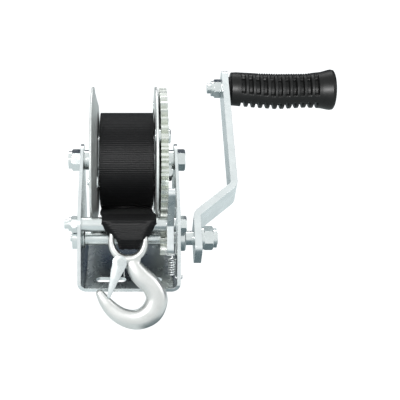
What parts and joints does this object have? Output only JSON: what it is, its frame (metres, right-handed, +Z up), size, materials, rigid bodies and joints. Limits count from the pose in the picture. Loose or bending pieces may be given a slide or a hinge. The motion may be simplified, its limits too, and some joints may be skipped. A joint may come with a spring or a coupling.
{
  "type": "boat trailer winch",
  "caption": "Hand winch with a U-bent frame, geared strap drum, offset crank with a free grip, lift-off pawl, webbing strap and latched hook.",
  "frame": {"origin": "centre of the base's bottom face, midway between the cheeks", "axes": "+X towards the crank, parallel to the drum axle; -Y the side the strap comes out of; +Z up from the base"},
  "size_m": [0.267, 0.2371, 0.1813],
  "materials": {
    "zinc_sheet": "bright zinc plated sheet steel, smooth with a faint spangle",
    "zinc_fastener": "bright zinc plated machined steel",
    "zinc_gear": "zinc plated stamped gear with a faint warm passivation",
    "nylon": "white nylon",
    "bush": "sintered bronze",
    "webbing": "black woven polyester webbing with crosswise ribs",
    "rubber": "black moulded rubber, satin",
    "plastic": "black moulded plastic",
    "forged": "zinc plated forged steel, soft satin",
    "spring": "spring steel wire, zinc plated"
  },
  "bodies": {
    "frame": {"frame": "zinc_sheet", "axle_bolt": "zinc_fastener", "axle_nut": "zinc_fastener", "axle_sleeve": "zinc_fastener", "tie_bolt": "zinc_fastener", "tie_nut": "zinc_fastener", "tie_tube": "zinc_fastener", "pawl_spacer": "zinc_fastener", "frame_nut_inserts": "nylon", "shaft_bushing_left": "zinc_fastener", "shaft_bushing_right": "zinc_fastener", "pawl_spring": "spring", "strap_run": "webbing"},
    "drum": {"drum_hub": "zinc_fastener", "drum_bushes": "bush", "drum_core": "zinc_sheet", "left_flange": "zinc_sheet", "right_flange": "zinc_sheet", "main_gear": "zinc_gear", "gear_rivets": "zinc_fastener", "strap_anchor_bolt": "zinc_fastener", "strap_anchor_nut": "zinc_fastener", "keeper_bolt": "zinc_fastener", "keeper_nut": "zinc_fastener", "strap_roll": "webbing"},
    "crank": {"pinion_shaft": "zinc_fastener", "pinion": "zinc_gear", "shaft_collar": "zinc_fastener", "crank_arm": "zinc_sheet", "crank_washer": "zinc_fastener", "crank_nut": "zinc_fastener", "crank_nut_inserts": "nylon", "grip_bolt": "zinc_fastener", "grip_nut": "zinc_fastener", "grip_washer": "plastic"},
    "grip": {"grip_core": "plastic", "grip_rubber": "rubber"},
    "pawl": {"pawl": "zinc_sheet"},
    "strap_tail": {"strap_tail": "webbing"},
    "hook": {"hook": "forged", "latch_rivet": "zinc_fastener", "latch_spring": "spring"},
    "latch": {"latch": "zinc_sheet"}
  },
  "joints": [
    {"name": "drum_spin", "type": "hinge", "parent": "frame", "child": "drum", "pos_m": [0, 0.032, 0.085], "axis": [1, 0, 0], "range_deg": [-4860, 0]},
    {"name": "crank_spin", "type": "hinge", "parent": "frame", "child": "crank", "pos_m": [0, -0.025, 0.03175], "axis": [1, 0, 0], "range_deg": [0, 26730]},
    {"name": "grip_spin", "type": "hinge", "parent": "crank", "child": "grip", "pos_m": [0.15, 0.12595, 0.12608], "axis": [1, 0, 0], "continuous": true},
    {"name": "pawl_pivot", "type": "hinge", "parent": "frame", "child": "pawl", "pos_m": [0.036, -0.038, 0.052], "axis": [1, 0, 0], "range_deg": [0, 13], "deforming": ["pawl_spring"]},
    {"name": "strap_swing", "type": "hinge", "parent": "frame", "child": "strap_tail", "pos_m": [0, -0.038, 0.052], "axis": [-1, 0, 0], "range_deg": [0, 55], "deforming": ["strap_run"]},
    {"name": "hook_swing", "type": "hinge", "parent": "strap_tail", "child": "hook", "pos_m": [0, -0.05079, 0.05905], "axis": [-1, 0, 0], "range_deg": [0, 60], "deforming": ["strap_tail"]},
    {"name": "latch_pivot", "type": "hinge", "parent": "hook", "child": "latch", "pos_m": [-0.0072, -0.06302, 0.02878], "axis": [0, -0.9272, 0.3746], "range_deg": [0, 25], "deforming": ["latch_spring"]}
  ],
  "couplings": [
    {"joint": "crank_spin", "follows": "drum_spin", "ratio": -5.5}
  ]
}
